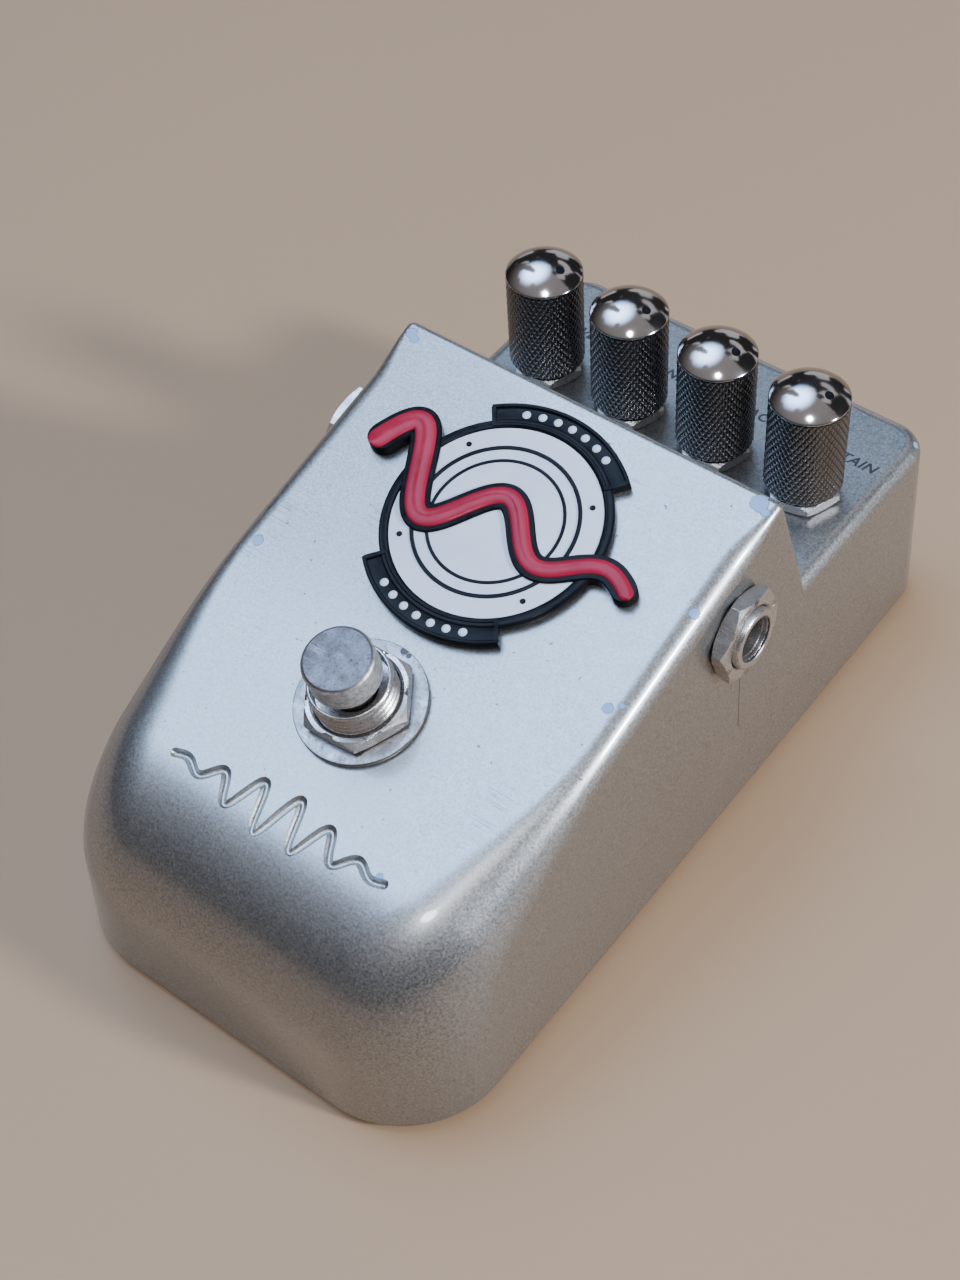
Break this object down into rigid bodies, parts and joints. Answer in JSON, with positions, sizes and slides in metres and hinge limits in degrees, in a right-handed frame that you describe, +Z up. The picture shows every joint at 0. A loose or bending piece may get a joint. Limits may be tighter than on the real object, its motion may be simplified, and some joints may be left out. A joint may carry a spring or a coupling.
{
  "type": "guitar sustain pedal",
  "caption": "Compact electric-guitar sustainer pedal: a die-cast wedge case with a stomp switch, knurled control knobs on a sunk rear deck, a round badge and side jack sockets.",
  "frame": {"origin": "on the floor, under the middle of the case: the bottom centre of the bounding box", "axes": "+Z up, +X to the player's right (the input jack's side), +Y from the nose to the rear wall, along the length"},
  "size_m": [0.0724, 0.1295, 0.0538],
  "materials": {
    "case_paint": "silver champagne metallic paint under a glossy clear coat, with small chips and fine scratches",
    "zinc_steel": "bright zinc plate",
    "rubber_mat": "matt black",
    "worn_nickel": "nickel plate, worn and a little scuffed",
    "dark_chrome": "dark nickel plate, diamond knurled side and polished dome",
    "black_plastic": "satin black",
    "black_badge": "glossy black lacquer on a cast badge",
    "white_enamel": "glossy cool white enamel with thin dark rings",
    "red_enamel": "glossy crimson enamel with a black edge",
    "brass_parts": "plain brass",
    "tinned_contact": "tinned",
    "board_green": "green solder mask",
    "capacitor_sleeve": "glossy dark sleeve",
    "lamp_red": "clear red lens",
    "foam": "open foam, matt",
    "battery_sleeve": "plain blue sleeve",
    "lead_red": "red insulation",
    "lead_black": "black insulation"
  },
  "bodies": {
    "case": {"housing": "case_paint", "base_plate": "zinc_steel", "base_mat": "rubber_mat", "base_screw_1": "zinc_steel", "base_screw_2": "zinc_steel", "base_screw_3": "zinc_steel", "base_screw_4": "zinc_steel", "switch_washer": "worn_nickel", "switch_nut": "worn_nickel", "switch_lock_nut": "zinc_steel", "switch_bush": "worn_nickel", "switch_body": "black_plastic", "switch_spring": "zinc_steel", "switch_lug_1": "tinned_contact", "switch_lug_2": "tinned_contact", "badge_plate": "black_badge", "badge_disc": "white_enamel", "badge_ribbon": "red_enamel", "pot_nut_1": "worn_nickel", "pot_nut_2": "worn_nickel", "pot_nut_3": "worn_nickel", "pot_nut_4": "worn_nickel", "pot_body_1": "zinc_steel", "pot_body_2": "zinc_steel", "pot_body_3": "zinc_steel", "pot_body_4": "zinc_steel", "input_jack": "black_plastic", "input_jack_nut": "worn_nickel", "input_jack_tip": "brass_parts", "output_jack": "black_plastic", "output_jack_nut": "worn_nickel", "output_jack_tip": "brass_parts", "power_socket": "black_plastic", "power_socket_pin": "tinned_contact", "circuit_board": "board_green", "op_amp_chip": "black_plastic", "capacitor_1": "capacitor_sleeve", "capacitor_2": "capacitor_sleeve", "capacitor_3": "capacitor_sleeve", "status_lamp": "lamp_red", "battery_pad": "foam", "battery": "battery_sleeve", "battery_snap": "black_plastic", "battery_lead_red": "lead_red", "battery_lead_black": "lead_black"},
    "button": {"switch_button": "worn_nickel"},
    "control_1": {"knob_1": "dark_chrome", "knob_set_screw_1": "zinc_steel", "pot_shaft_1": "brass_parts"},
    "control_2": {"knob_2": "dark_chrome", "knob_set_screw_2": "zinc_steel", "pot_shaft_2": "brass_parts"},
    "control_3": {"knob_3": "dark_chrome", "knob_set_screw_3": "zinc_steel", "pot_shaft_3": "brass_parts"},
    "control_4": {"knob_4": "dark_chrome", "knob_set_screw_4": "zinc_steel", "pot_shaft_4": "brass_parts"}
  },
  "joints": [
    {"name": "switch_press", "type": "slide", "parent": "case", "child": "button", "axis": [0, -0.2436, 0.9699], "range_m": [-0.0035, 0], "stiffness_N_per_m": 1500, "springref_m": 0.001, "deforming": ["switch_spring"]},
    {"name": "knob_turn_1", "type": "hinge", "parent": "case", "child": "control_1", "pos_m": [-0.02317, 0.0423, 0.0315], "axis": [0, 0, 1], "range_deg": [-60, 240]},
    {"name": "knob_turn_2", "type": "hinge", "parent": "case", "child": "control_2", "pos_m": [-0.00772, 0.0423, 0.0315], "axis": [0, 0, 1], "range_deg": [-60, 240]},
    {"name": "knob_turn_3", "type": "hinge", "parent": "case", "child": "control_3", "pos_m": [0.00772, 0.0423, 0.0315], "axis": [0, 0, 1], "range_deg": [-60, 240]},
    {"name": "knob_turn_4", "type": "hinge", "parent": "case", "child": "control_4", "pos_m": [0.02317, 0.0423, 0.0315], "axis": [0, 0, 1], "range_deg": [-60, 240]}
  ]
}
